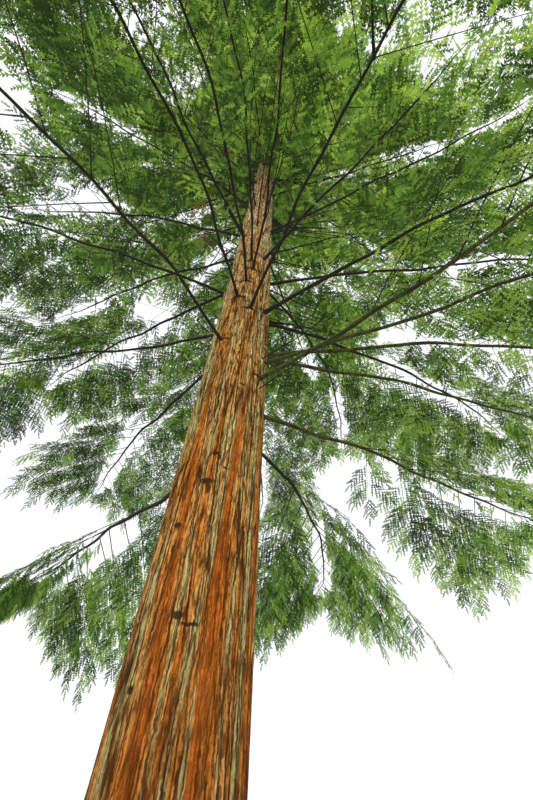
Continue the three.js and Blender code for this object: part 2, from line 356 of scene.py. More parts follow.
# The camera stands and looks as the photograph's did. Its lens is the focal length as a share of the
# frame's longer side
def addCamera():
    camera = bpy.data.cameras.new("photo_camera")
    camera.sensor_width = photo["sensor"]
    camera.lens = photo["focal"] / max(photo["size"]) * photo["sensor"]
    camera.clip_end = photo["clipEnd"]
    holder = bpy.data.objects.new("photo_camera", camera)
    holder.matrix_world = Matrix.Translation(cameraPlace) @ Matrix(cameraTurn.tolist()).to_4x4()
    bpy.context.scene.collection.objects.link(holder)
    bpy.context.scene.camera = holder


# A mesh piece from arrays of points and three-cornered faces
def addPiece(name, points, faces, materials, dealt=None, smooth=False):
    mesh = bpy.data.meshes.new(name)
    mesh.vertices.add(points.size // 3)
    mesh.vertices.foreach_set("co", np.ascontiguousarray(points, np.float32).ravel())
    mesh.loops.add(faces.size)
    mesh.loops.foreach_set("vertex_index", np.ascontiguousarray(faces, np.int32).ravel())
    mesh.polygons.add(len(faces))
    mesh.polygons.foreach_set("loop_start", np.arange(0, faces.size, 3, dtype=np.int32))
    if dealt is not None:
        mesh.polygons.foreach_set("material_index", dealt.astype(np.int32))
    mesh.polygons.foreach_set("use_smooth", np.full(len(faces), smooth))
    for material in materials:
        mesh.materials.append(material)
    mesh.update(calc_edges=True)
    piece = bpy.data.objects.new(name, mesh)
    bpy.context.scene.collection.objects.link(piece)
    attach(piece, "root")
    print(name, len(faces), "triangles")
    return piece


# Numbers at a piece's points, which its material reads by their names
def addTones(piece, tones):
    for name, values in tones.items():
        attribute = piece.data.attributes.new(name, "FLOAT", "POINT")
        attribute.data.foreach_set("value", values.ravel().astype(np.float32))


# Faces between rings of the same number of sides, for each of several tubes, closed at both ends by fans
def tubeFaces(tubes, rings, sides):
    ring, side = np.meshgrid(np.arange(rings - 1), np.arange(sides), indexing="ij")
    following = (side + 1) % sides
    low = ring * sides
    quads = np.stack([low + side, low + following, low + sides + following, low + sides + side], -1)
    quads = quads.reshape(-1, 4)
    corner = np.arange(1, sides - 1)
    foot = np.stack([np.zeros_like(corner), corner + 1, corner], -1)
    top = np.stack([np.zeros_like(corner), corner, corner + 1], -1) + (rings - 1) * sides
    one = np.concatenate([quads[:, [0, 1, 2]], quads[:, [0, 2, 3]], foot, top])
    return (one[None] + (np.arange(tubes) * rings * sides)[:, None, None]).reshape(-1, 3)


# Tubes round paths: each ring lies square to its path, with one axis level and one across it.
# Radii have one number for each ring, or one for each of its points
def tubePoints(paths, radii, sides):
    along = unit(np.gradient(paths, axis=1))
    level = levelAcross(along)
    over = np.cross(level, along)
    turn = np.arange(sides) * 2 * np.pi / sides
    radii = radii.reshape(*radii.shape[:2], -1, 1)
    return paths[:, :, None] + swung(level[:, :, None], over[:, :, None], turn) * radii


# A node tree of its own for each material
class Shader:
    def __init__(self, name):
        self.material = bpy.data.materials.new(name)
        self.material.use_nodes = True
        self.tree = self.material.node_tree
        self.tree.nodes.clear()

    # One node: its settings first, then the values or links of its sockets, by name or by number
    def node(self, kind, settings=None, sockets=None):
        made = self.tree.nodes.new(kind)
        for name, value in (settings or {}).items():
            setattr(made, name, value)
        for name, value in (sockets or {}).items():
            socket = made.inputs[name]
            if isinstance(value, Value):
                self.tree.links.new(value.socket, socket)
            else:
                socket.default_value = value
        return made

    def value(self, kind, settings=None, sockets=None, output=0):
        return Value(self, self.node(kind, settings, sockets).outputs[output])

    def vector(self, operation, first, second):
        return self.value("ShaderNodeVectorMath", {"operation": operation}, {0: first, 1: second})

    def place(self):
        return self.value("ShaderNodeTexCoord", output="Object")

    # Coordinates moved along each axis by a noise
    def swayed(self, place, cells, sway):
        drift = self.noise(place, cells, 2, output="Color")
        away = self.vector("SUBTRACT", drift, (0.5, 0.5, 0.5))
        return self.vector("ADD", place, self.vector("MULTIPLY", away, sway))

    # Noise with so many cells a metre along each axis
    def noise(self, place, cells, detail=3, roughness=0.55, output=0):
        place = self.value("ShaderNodeMapping", sockets={"Vector": place, "Scale": cells})
        sockets = {"Vector": place, "Scale": 1, "Detail": detail, "Roughness": roughness}
        return self.value("ShaderNodeTexNoise", sockets=sockets, output=output)

    # Thin lines where a noise crosses its middle value, broken off where a second noise is low
    def cracks(self, place, cells, width, breaks):
        line = self.noise(place, cells, 2) - 0.5
        line = 1 - line.math("ABSOLUTE").between(0.3 * width, width)
        return line * self.noise(place, breaks, 2).between(0.38, 0.48)

    # Cells on a flat face, so many a metre across and up: the nearness to a cell's edge, and its own tone
    def cells(self, face, counts, width):
        face = self.value("ShaderNodeMapping", sockets={"Vector": face, "Scale": (*counts, 0)})
        kind = "ShaderNodeTexVoronoi"
        flat = {"voronoi_dimensions": "2D"}
        sockets = {"Vector": face, "Scale": 1}
        away = self.value(kind, {"feature": "DISTANCE_TO_EDGE", **flat}, sockets, "Distance")
        tone = self.value(kind, {"feature": "F1", **flat}, sockets, "Color")
        tone = self.value("ShaderNodeSeparateColor", sockets={"Color": tone}, output="Red")
        return 1 - away.between(0.2 * width, width), tone

    # Distance to the nearest of several spots, over its half sizes
    def nearest(self, place, spots, sizes):
        least = None
        for spot, size in zip(spots, sizes):
            off = self.vector("DIVIDE", self.vector("SUBTRACT", place, tuple(spot)), tuple(size))
            far = self.value("ShaderNodeVectorMath", {"operation": "LENGTH"}, {0: off}, output="Value")
            least = far if least is None else least.math("MINIMUM", far)
        return least

    def attribute(self, name):
        return self.value("ShaderNodeAttribute", {"attribute_name": name}, output="Fac")

    # The first colour at 0 and the second at 1
    def blend(self, factor, low, high):
        low, high = (tone if isinstance(tone, Value) else (*tone, 1) for tone in (low, high))
        return self.value("ShaderNodeMix", {"data_type": "RGBA"}, {0: factor, 6: low, 7: high}, output=2)

    # A normal that leans as the height's slope does, over so many metres
    def bump(self, height, strength, distance):
        sockets = {"Height": height, "Strength": strength, "Distance": distance}
        return self.value("ShaderNodeBump", sockets=sockets)

    # The usual surface, with its other sockets by their names
    def principled(self, colour, roughness, specular=0.5, **others):
        sockets = {"Base Color": colour, "Roughness": roughness, "Specular IOR Level": specular, **others}
        return self.value("ShaderNodeBsdfPrincipled", sockets=sockets)

    def finish(self, surface):
        self.node("ShaderNodeOutputMaterial", sockets={"Surface": surface})
        return self.material


# A socket with arithmetic: each operation adds a Math node
class Value:
    def __init__(self, shader, socket):
        self.shader = shader
        self.socket = socket

    def math(self, operation, other=0, reflected=False):
        first, second = (other, self) if reflected else (self, other)
        return self.shader.value("ShaderNodeMath", {"operation": operation}, {0: first, 1: second})

    def __add__(self, other):
        return self.math("ADD", other)

    def __sub__(self, other):
        return self.math("SUBTRACT", other)

    def __mul__(self, other):
        return self.math("MULTIPLY", other)

    def __rsub__(self, other):
        return self.math("SUBTRACT", other, reflected=True)

    __radd__ = __add__
    __rmul__ = __mul__

    # 0 at the first edge and 1 at the second, with no more or less outside them
    def between(self, low, high):
        sockets = {"Value": self, "From Min": low, "From Max": high}
        return self.shader.value("ShaderNodeMapRange", {"clamp": True}, sockets)


# Smooth noise round the trunk, from 0 to 1: random numbers on a lattice that closes on itself, eased between
def ringNoise(turn, height, cells, stretch, seed):
    rows = int(tree["height"] / stretch) + 3
    table = np.random.default_rng(seed).random((rows, cells))
    across = turn * cells
    above = np.clip(height / stretch, 0, rows - 2)
    i = np.floor(across).astype(int)
    j = np.floor(above).astype(int)
    u = smoothStep(0, 1, across - i)
    v = smoothStep(0, 1, above - j)
    low = lerp(table[j, i % cells], table[j, (i + 1) % cells], u)
    high = lerp(table[j + 1, i % cells], table[j + 1, (i + 1) % cells], u)
    return lerp(low, high, v)


bark = {
    "breastRadius": 0.41,
    "sizePower": 0.8,  # the relief is less where the trunk is thinner
    "sways": ((0.016, 7, 1.6, 1), (0.008, 26, 0.45, 2), (0.003, 90, 0.13, 3)),  # in turns, then as below
    "noises": {  # cells round the trunk, their height and a seed
        "plate": (26, 1.1, 4),
        "ridge": (92, 1.3, 5),
        "strip": (176, 0.75, 6),
        "fibre": (310, 0.3, 8),
        "ridgeBreaks": (60, 0.6, 9),
        "stripBreaks": (90, 0.4, 10),
        "ragged": (110, 0.5, 11),
    },
    "depths": {"plate": 0.014, "ridge": 0.013, "strip": 0.006, "fibre": 0.003, "fresh": 0.006},
    "grooveWidth": 0.13,  # in the noise's value
    "grooveBreaks": (0.15, 0.4),  # in the other noise's
    "bandHeight": 2,  # where a band has its bearing
    "bandEdge": 0.5,
    "freshFades": (5.2, 3.2),  # heights
    "freshCalm": 0.5,  # how much shallower the grooves are there
    # Painted shade: grooves are painted darker, and a groove between strips by this share of a deep one's
    "thinFurrow": 0.75,  # the tone of a groove between strips, over that of a deep one
    "collarHeight": 0.9,  # over the limb's radius
    "collarWidth": 2.6,
    "collarReach": 0.5,
    "knotSize": (0.036, 0.036, 0.026),  # half sizes
    "browSize": (0.13, 0.13, 0.030),
    "browLift": 0.004,
    "browBearing": 100,
    "seams": (0.0, 2.5, 6.0, 25.0),  # heights between the trunk's pieces, finest at the foot
    "sides": (760, 640, 360),
    "rings": (126, 149, 264),
    "overlap": 0.02,
    "inset": 0.004,
    "leastRadius": 0.4,  # of the radius without relief
}
# Knots and dark marks seen on the trunk: a pixel, and the width and height of each over a knot's size
knots = [
    ((207, 481), (1.5, 1.0)),
    ((208, 488), (0.5, 2.0)),
    ((178, 525), (0.8, 0.8)),
    ((177, 615), (1.2, 1.0)),
    ((189, 624), (1.5, 0.4)),
    ((216, 453), (0.9, 0.8)),
    ((219, 457), (0.5, 1.2)),
    ((225, 468), (0.5, 0.5)),
    ((131, 690), (0.8, 0.8)),
    ((196, 400), (0.8, 0.8)),
    ((243, 384), (1.1, 0.5)),
    ((255, 527), (0.5, 1.0)),
]
browLimbs = len(mainBoughs) + len(leafyLimbs)
# Bands where the outer bark has come away, and mossy ones: bearing, half width and drift for each metre up
freshBands = [(15, 7, 0.8), (-31, 6, -3), (70, 5, 0), (150, 9, 2), (-120, 8, -2)]
mossBands = [(-60, 14, 0), (-16, 3.5, 0), (0, 4, 8), (31, 3, 0), (49, 5, 0), (110, 10, 0), (-165, 12, 0)]


# How much a band covers: 1 in its middle, falling to 0 at its half width, ragged by noise
def bandCover(bands, bearing, height, ragged):
    cover = np.zeros_like(bearing)
    for middle, half, drift in bands:
        away = (bearing - middle - drift * (height - bark["bandHeight"]) + 180) % 360 - 180
        cover = np.maximum(cover, 1 - np.abs(away) / (half * (0.3 + 1.4 * ragged)))
    return smoothStep(0, bark["bandEdge"], cover)


# A groove runs where a noise crosses its middle value, and breaks off where a second noise is low
def groove(noise, broken):
    width = bark["grooveWidth"]
    deep = 1 - smoothStep(0.2 * width, width, np.abs(noise - 0.5))
    return deep * smoothStep(*bark["grooveBreaks"], broken)


# Bark over the trunk: plates and ridges with long grooves between them, narrower strips and fibres on
# them, and a swelling at each bough's foot
def barkRelief(turn, height):
    angle = turn * 2 * np.pi
    size = np.clip(taperRadius(height) / bark["breastRadius"], 0, 1) ** bark["sizePower"]
    moved = turn
    for amount, *cells in bark["sways"]:
        moved = moved + amount * (ringNoise(turn, height, *cells) - 0.5)
    noise = {name: ringNoise(moved, height, *cells) for name, cells in bark["noises"].items()}
    deep = groove(noise["ridge"], noise["ridgeBreaks"])
    thin = groove(noise["strip"], noise["stripBreaks"])
    bearing = np.degrees(angle) + 90
    fresh = bandCover(freshBands, bearing, height, noise["ragged"]) * smoothStep(*bark["freshFades"], height)
    moss = bandCover(mossBands, bearing, height, noise["ragged"])
    calm = 1 - bark["freshCalm"] * fresh
    depth = bark["depths"]
    relief = depth["plate"] * (noise["plate"] - 0.5) - depth["fresh"] * fresh
    relief = relief + depth["fibre"] * (2 * noise["fibre"] - 1)
    relief = relief - calm * (depth["ridge"] * deep + depth["strip"] * thin)
    for stem in stems:
        far = bark["collarReach"]
        if stem["order"] > 0 or not height.min() - far < stem["root"][2] < height.max() + far:
            continue
        away = np.angle(np.exp(1j * (angle - math.radians(stem["bearing"] - 90)))) * taperRadius(height)
        above = height - stem["root"][2] - stem["rise"] * stem["start"]
        near = np.exp(-(away**2 + above**2) / (bark["collarWidth"] * stem["thickness"]) ** 2)
        relief = relief + bark["collarHeight"] * stem["thickness"] * near
    # Painted shade: how much each groove is painted darker
    furrow = calm * np.maximum(deep, bark["thinFurrow"] * thin)
    way = {"across": np.cos(angle), "toward": -np.sin(angle)}
    return relief * size, {"furrow": furrow, "fresh": fresh, "moss": moss, **way}


# A length of trunk: rings of points at the trunk's radius plus the bark's relief
def addTrunkPiece(name, low, high, sides, rings, material):
    height, turn = np.meshgrid(np.linspace(low, high, rings), np.arange(sides) / sides, indexing="ij")
    relief, tones = barkRelief(turn, height)
    angle = turn * 2 * np.pi
    radius = np.maximum(trunkRadius(height, angle) + relief, bark["leastRadius"] * taperRadius(height))
    if low > 0:
        radius = radius - bark["inset"] * (height < low + bark["overlap"])
    points = trunkAxis(height)
    points[..., 0] += radius * np.cos(angle)
    points[..., 1] += radius * np.sin(angle)
    piece = addPiece(name, points, tubeFaces(1, rings, sides), [material], smooth=True)
    addTones(piece, tones)
    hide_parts("trunk")


# Points on the trunk without its flare: from its axis by its radius
def onTrunk(height, angle):
    way = np.array([math.cos(angle), math.sin(angle), 0])
    return trunkAxis(height) + taperRadius(height)[..., None] * way


# Base colours of the bark, dark and light
barkTones = {
    "rust": ((0.16, 0.046, 0.004), (0.46, 0.150, 0.021)),
    "tan": ((0.19, 0.081, 0.017), (0.51, 0.250, 0.068)),
    "sage": ((0.17, 0.130, 0.040), (0.40, 0.340, 0.145)),
    "red": ((0.15, 0.029, 0.002), (0.38, 0.090, 0.007)),
}
barkMarksAndPaintedLight = {
    # painted shade in the grooves
    "furrow": (0.085, 0.022, 0.002),
    # painted shadow along the strips' edges
    "edge": (0.040, 0.011, 0.001),
    "strand": (0.060, 0.018, 0.002),
    "ring": (0.060, 0.022, 0.006),
    # dark knots, and also the painted shade in the creases at the boughs' feet
    "knot": (0.030, 0.014, 0.005),
    # painted light: a pale tone for flecks high on the trunk
    "paintedPaleLight": (0.85, 0.66, 0.42),
}


# Long strips of weathered bark, in rust, tan or sage, each with a dark edge of painted shadow, as under a
# lifted strip, and finer strands on it.
# Higher up it is lighter and then paler: painted light that offsets the crown's shade
def barkMaterial():
    shader = Shader("trunk_bark")
    own = shader.place()
    up = shader.value("ShaderNodeSeparateXYZ", sockets={"Vector": own}, output="Z")
    swayed = shader.swayed(own, (3.5, 3.5, 1.3), (0.05, 0.05, 0))
    jagged = shader.swayed(swayed, (34, 34, 22), (0.026, 0.026, 0))
    fibres = shader.noise(jagged, (105, 105, 15), 3, 0.7)
    grain = shader.noise(jagged, (60, 60, 4), 3, 0.7)
    patches = shader.noise(swayed, (9, 9, 0.8), 2)
    around = shader.attribute("across").math("ARCTAN2", shader.attribute("toward"))
    sockets = {"X": around * bark["breastRadius"], "Y": up}
    unrolled = shader.value("ShaderNodeCombineXYZ", sockets=sockets)
    face = shader.vector("ADD", unrolled, shader.vector("SUBTRACT", jagged, own))
    # Painted shadow: a dark line along each strip's edge
    edge, tone = shader.cells(face, (18, 0.7), 0.13)
    strand, strandTone = shader.cells(face, (48, 3.6), 0.24)
    edge = edge * shader.noise(jagged, (14, 14, 2.4), 2).between(0.36, 0.46)
    strand = strand * shader.noise(jagged, (34, 34, 7), 2).between(0.38, 0.48)
    fresh = shader.attribute("fresh")
    fine = (fibres * 0.7 + grain * 0.3).between(0.44, 0.56) * 0.72 + strandTone * 0.18 + tone * 0.1
    tones = {name: shader.blend(fine, *pair) for name, pair in barkTones.items()}
    aged = (patches - 0.5) * 1.4 + tone * 0.3 + strandTone * 0.1 + shader.attribute("moss") * 0.36
    colour = shader.blend(aged.between(0.04, 0.26) * (1 - fresh * 0.7), tones["rust"], tones["tan"])
    colour = shader.blend(aged.between(0.34, 0.50) * (1 - fresh * 0.9), colour, tones["sage"])
    colour = shader.blend(fresh * 0.8, colour, tones["red"])
    colour = shader.blend(up.between(3.5, 6.5) * 0.4, colour, tones["tan"])
    # Painted light: lighter from 1.6 m up and paler from 4.5 m up, offsetting the crown's shade on the upper
    # trunk
    lighter = shader.vector("MULTIPLY", colour, (1.75, 2.0, 2.2))
    lighter = shader.vector("MINIMUM", lighter, (0.95, 0.9, 0.8))
    colour = shader.blend(up.between(1.6, 4.5) - up.between(6, 12) * 0.4, colour, lighter)
    paler = shader.vector("MULTIPLY", colour, (1.06, 1.45, 2.2))
    colour = shader.blend(up.between(4.5, 8.5), colour, paler)
    calm = 1 - fresh * 0.3
    rings = shader.cracks(jagged, (6, 6, 24), 0.06, (8, 8, 6)) * up.between(4.5, 7)
    wobbled = shader.swayed(own, (26, 26, 26), (0.045, 0.045, 0.035))
    knotSizes = [(wide, wide, high) * np.array(bark["knotSize"]) for pixel, (wide, high) in knots]
    knot = shader.nearest(wobbled, [onTrunk(*pixelOnTrunk(pixel)) for pixel, size in knots], knotSizes)
    feet = boughFeet()
    # Painted shade: a dark crease at each bough's foot, where it meets the trunk
    brow = shader.nearest(shader.swayed(own, (9, 9, 9), (0, 0, 0.03)), feet, [bark["browSize"]] * len(feet))
    covers = (
        # Painted light: pale flecks high on the trunk, lifting it against the crown's shade
        (up.between(8, 11) * fine * 0.4, "paintedPaleLight"),
        # Painted shade in the grooves
        (shader.attribute("furrow").between(0.2, 0.9) * 0.28, "furrow"),
        # Painted shadow along the strips' edges
        (edge * calm * 0.95, "edge"),
        (strand * calm * 0.85, "strand"),
        (rings * 0.8, "ring"),
        (knot.between(1.25, 0.75) * 0.93, "knot"),
        # Painted shade at the boughs' feet, in the knots' colour
        (brow.between(1.1, 0.6) * 0.93, "knot"),
    )
    for cover, mark in covers:
        colour = shader.blend(cover, colour, barkMarksAndPaintedLight[mark])
    height = fibres * 0.4 + grain * 0.3 - edge * 0.9 - strand * 0.4 - rings * 0.5
    height = height - knot.between(1.3, 0.3) * 1.5 - brow.between(1.2, 0.4)
    return shader.finish(shader.principled(colour, 0.95, 0.1, Normal=shader.bump(height, 0.9, 0.009)))


# Where the limbs that show from the front leave the trunk
def boughFeet():
    front = [stem for stem in stems[:browLimbs] if abs(stem["bearing"]) < bark["browBearing"]]
    heights = [stem["root"][2] + stem["rise"] * stem["start"] + bark["browLift"] for stem in front]
    return [onTrunk(height, math.radians(stem["bearing"] - 90)) for height, stem in zip(heights, front)]


boughLook = {
    "grid": {  # sides and rings
        "main_boughs": (12, 46),
        "leafy_limbs": (10, 36),
        "parted_limbs": (7, 24),
        "whips": (5, 22),
    },
    "ringCrowding": 1.25,  # above 1 they stand closer at the foot
    "footShare": 0.86,  # of the trunk's radius, where the limb's foot is sunk in
    "footSwell": 0.3,  # over the radius, at the trunk
    "footLength": 0.06,
    "kink": 0.022,  # how far a limb of the next reach strays from its even curve
    "kinkReach": 5,
    "calmFoot": 0.2,  # share of the reach
    "strays": ((9, 1, 1), (23, 0.6, 2.3), (41, 0.35, 1)),  # waves: turns, height and shift
    "lifts": ((13, 1, 1.7), (31, 0.5, 1)),
    "liftShare": 0.7,
    "ridge": 0.10,  # of the radius
    "knob": 0.12,
    "ridges": (1.6, 3, 7, 0.35, 20),  # stretch and shift along the limb, then as in the bark's noises
    "knobs": (1, 2, 3, 0.11, 60),
    "tipThinner": 0.75,
    "thinFrom": 0.7,
    "endShare": 0.97,
}
mossyBoughs = (2, 3, 4, 6, 7)
# Thickness over the rule's, where the photograph shows the limb stouter or thinner
boughThickness = {
    5: 0.75, 8: 0.82, 9: 0.85, 10: 1.1, 11: 0.8, 12: 0.9, 13: 0.8, 14: 0.8, 19: 0.75, 22: 0.75,
}


# A sum of sines, each with its own turns, height and shift
def summedWaves(waves, share, phase):
    return sum(height * np.sin(turns * share + shift * phase) for turns, height, shift in waves)


# The path of a stem, strayed from its even curve by sums of waves that vanish at the trunk
def strayedPath(stem, out):
    look = boughLook
    level = levelAcross(stemDirection(stem, out))
    share = (out - stem["start"]) / stem["reach"]
    phase = 2 * np.pi * chance(stem["limb"], draws["waves"] + stem["order"])
    stray = summedWaves(look["strays"], share, phase)[:, None]
    lift = summedWaves(look["lifts"], share, phase)[:, None]
    amount = look["kink"] * stem["reach"] / look["kinkReach"] * smoothStep(0, look["calmFoot"], share)
    amount = amount[:, None]
    return stemPoint(stem, out) + level * stray * amount + upward * look["liftShare"] * lift * amount


# Noise round a limb and along it, from -0.5 to 0.5
def limbNoise(kind, turn, out, limb):
    stretch, shift, *cells, seed = boughLook[kind]
    return ringNoise(turn, out[:, None] * stretch + shift, *cells, seed + limb) - 0.5


# A limb's radius falls evenly and then fast to its tip, with a swollen foot, ridges along it and knobs
def addLimbs(name, chosen, materials, nodes):
    look = boughLook
    sides, rings = look["grid"][name]
    paths = []
    radii = []
    for stem in chosen:
        foot = stem["start"] * look["footShare"] if stem["order"] == 0 else 0.0
        along = np.linspace(0, 1, rings) ** look["ringCrowding"]
        out = lerp(foot, stem["reach"] * look["endShare"], along)
        paths.append(strayedPath(stem, out))
        share = out / stem["reach"]
        thin = 1 - (1 - limbRule["tipShare"]) * share
        thin = thin * (1 - look["tipThinner"] * smoothStep(look["thinFrom"], 1, share))
        past = np.maximum(out - stem["start"], 0)
        swell = 1 + look["footSwell"] * np.exp(-past / look["footLength"])
        turn = np.arange(sides)[None] / sides
        ridges = limbNoise("ridges", turn, out, stem["limb"])
        knobs = limbNoise("knobs", turn, out, stem["limb"])
        rough = 1 + 2 * look["ridge"] * ridges + look["knob"] * knobs
        thick = stem["thickness"] * boughThickness.get(stem["limb"], 1)
        radii.append(thick * (thin * swell)[:, None] * rough)
    points = tubePoints(np.stack(paths), np.stack(radii), sides)
    faces = tubeFaces(len(chosen), rings, sides)
    mossy = np.array([stem["limb"] in mossyBoughs for stem in chosen]).astype(int)
    dealt = np.repeat(mossy if len(materials) > 1 else mossy * 0, len(faces) // len(chosen))
    piece = addPiece(name, points, faces, materials, dealt, smooth=True)
    # Painted light: 1 on a limb's upper side and 0 below, which its material paints lighter on top
    top = np.tile(0.5 + 0.5 * np.sin(np.arange(sides) * 2 * np.pi / sides), len(chosen) * rings)
    addTones(piece, {"top": top})
    if nodes:
        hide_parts(*nodes)


# Base colours of the limbs' bark, dark and light, and whether it is mossy. The light one is partly painted
# light on the limbs' tops
limbBarks = {
    "bough_bark": ((0.008, 0.006, 0.004), (0.075, 0.062, 0.042), 0),
    "mossy_bough_bark": ((0.010, 0.008, 0.004), (0.110, 0.098, 0.044), 1),
    "twig_bark": ((0.022, 0.016, 0.009), (0.07, 0.05, 0.024), 0),
}
mossTones = ((0.040, 0.052, 0.007), (0.15, 0.185, 0.030))


# Bark with fine grain, painted lighter on top as if lit from above, and moss in blotches, more of it on that
# top: more of it where mossy is 1 than where it is 0
def boughMaterial(name):
    dark, light, mossy = limbBarks[name]
    shader = Shader(name)
    own = shader.place()
    top = shader.attribute("top").between(0.32, 0.66)
    grain = shader.noise(own, (42, 42, 42), 4, 0.6)
    blotch = shader.noise(own, (7, 7, 7))
    # Painted light: lighter on the limb's top, darker beneath
    colour = shader.blend(grain.between(0.35, 0.68) * (0.3 + 0.7 * top), dark, light)
    moss = shader.blend(grain.between(0.35, 0.65), *mossTones)
    cover = blotch.between(0.60 - 0.25 * mossy, 0.74 - 0.20 * mossy) * lerp(0.4, 0.85, mossy)
    # The moss is mostly on the painted-lit top
    colour = shader.blend(cover * (0.35 + 0.65 * top), colour, moss)
    return shader.finish(shader.principled(colour, 0.85, 0.2, Normal=shader.bump(grain, 0.6, 0.006)))


# Bare whips between the limbs, at the sides and the back, of which some droop and some stand out stiff.
# They are thicker and longer high in the crown
whips = {
    "count": 74,
    "from": 4.2,
    "to": 14.5,
    "crowding": 0.85,
    "firstBearing": 48,  # to as much on the camera's other side
    "longest": 2.3,
    "shortest": 0.7,
    "longer": 1.0,
    "radius": 0.008,
    "thicker": 1.0,
    "growth": (6.5, 10.0),  # heights
    "rise": 0.32,
    "riseOver": 20,  # height that adds as much again
    "droop": 0.42,
    "droopLess": 0.5,
    "turn": 26,
    "thickness": (0.7, 1.1),
    "jitter": 0.5,
    "numbers": 200,  # the first one's, clear of the other limbs'
}
whipDraws = {"place": 7, "turn": 8, "length": 9, "rise": 10, "droop": 12, "thickness": 13}
# Thin limbs seen in the photograph: height, bearing, turn, reach, rise and radius. The first seven stand
# up towards the camera, and the rest are short ones at the trunk's right
seenLimbs = [
    (7.20, 34, 0, 4.1, 0.12, 0.024),
    (7.35, -11, 7, 2.6, 0.34, 0.013),
    (7.70, 10, -6, 2.3, 0.30, 0.014),
    (8.30, -3, 2, 2.8, 0.36, 0.014),
    (8.90, 17, -10, 2.6, 0.40, 0.015),
    (9.40, -24, 14, 2.7, 0.38, 0.016),
    (9.90, 6, -4, 2.4, 0.42, 0.015),
    (5.92, 93, 0, 1.35, 0.15, 0.016),
    (6.38, 101, 0, 1.30, 0.15, 0.013),
    (6.95, 108, 0, 1.70, 0.12, 0.014),
    (7.75, 70, 0, 1.92, 0.25, 0.018),
    (7.95, 100, 0, 1.42, 0.20, 0.013),
    (8.95, 90, 0, 2.00, 0.20, 0.012),
]


# A whip's stem: its height by an even step, its bearing by the golden angle and the rest by chance
def whipStem(i):
    draw = {name: chance(i, item) for name, item in whipDraws.items()}
    share = (i + whips["jitter"] * draw["place"]) / whips["count"]
    height = lerp(whips["from"], whips["to"], share ** whips["crowding"])
    grown = float(smoothStep(*whips["growth"], height))
    start = float(taperRadius(height))
    length = lerp(whips["shortest"], whips["longest"], draw["length"]) + whips["longer"] * grown
    bearing = whips["firstBearing"] + goldenAngle * i % (360 - 2 * whips["firstBearing"])
    turn = whips["turn"] * (2 * draw["turn"] - 1)
    rise = whips["rise"] * (draw["rise"] + height / whips["riseOver"])
    droop = whips["droop"] * draw["droop"] * (1 - whips["droopLess"] * grown)
    radius = whips["radius"] * (1 + whips["thicker"] * grown)
    radius = radius * lerp(*whips["thickness"], draw["thickness"])
    return bareStem(i, height, bearing, turn, start + length, rise, radius, droop)


seenDroop = 0.1  # over the rise


# A stem without leaves, which droops by a share of its rise where no droop is given
def bareStem(number, height, bearing, turn, reach, rise, radius, droop=None):
    return {
        "limb": whips["numbers"] + number,
        "order": 0,
        "root": trunkAxis(height),
        "bearing": bearing,
        "turn": turn,
        "start": float(taperRadius(height)),
        "reach": reach,
        "rise": rise,
        "droop": seenDroop * rise if droop is None else droop,
        "thickness": radius,
    }


seenStems = [bareStem(whips["count"] + i, *measures) for i, measures in enumerate(seenLimbs)]
whipStems = [whipStem(i) for i in range(whips["count"])] + seenStems


# Every rib is one row of several arrays: a foot, a direction, the side its spray spreads to, a length, a sag,
# its limb and how much what grows on it hangs
branch = {
    "spacing": 0.17,
    "fewest": 4,
    "lastShare": 0.9,
    "placeScatter": 0.35,
    "crowding": 0.85,  # below 1 they stand closer towards the tip
    "angle": 50,
    "angleScatter": 10,
    "lengthShare": 0.48,  # of the limb's reach, where the mass is widest
    "lengthScatter": 0.1,
    "fullness": (0.22, 0.97, 0.8),
    "beyond": 0.1,  # past the limb's own end, for the root of its reach
    "least": 0.34,
    "most": 1.75,
    "tipFrom": 0.82,
    "tipTo": 0.95,
    "tipSag": 0.02,
    "hangLow": 15,  # less than the solids', because these sag as well
    "hangHigh": 2,
    "hangScatter": 0.4,
    "tiltUp": 30,
    "tiltDown": 24,
    "rollLow": 12,
    "rollHigh": 42,
    "steepShare": 0.35,
    "sag": 0.17,
    "sagLess": 0.6,  # high in the crown
    "shorter": (1, 0.8, 0.64, 0.5, 0.38, 0.26),
    "width": 0.30,
    "tested": ((1, 0), (0.6, 1), (0.6, -1)),  # along and across
    "weep": 0.16,
    "weeping": {1: 0.42, 14: 0.3, 2: 0.1},  # how much more the lowest limbs' sprays hang
}
crownEdge = {"reach": 5.22, "top": 24.9}
inner = {
    "count": 190,
    "from": 9.6,
    "to": 24.7,
    "crowding": 1.15,  # above 1 they stand closer towards the foot
    "riseLow": 10,
    "riseHigh": 50,
    "longest": 1.35,
    "shortest": 0.34,
    "sag": 0.1,
}


# One draw for each of a stem's branches, from -1 to 1
def branchDraws(stem, kind, number):
    return spread(stem["limb"], draws[kind] + number)


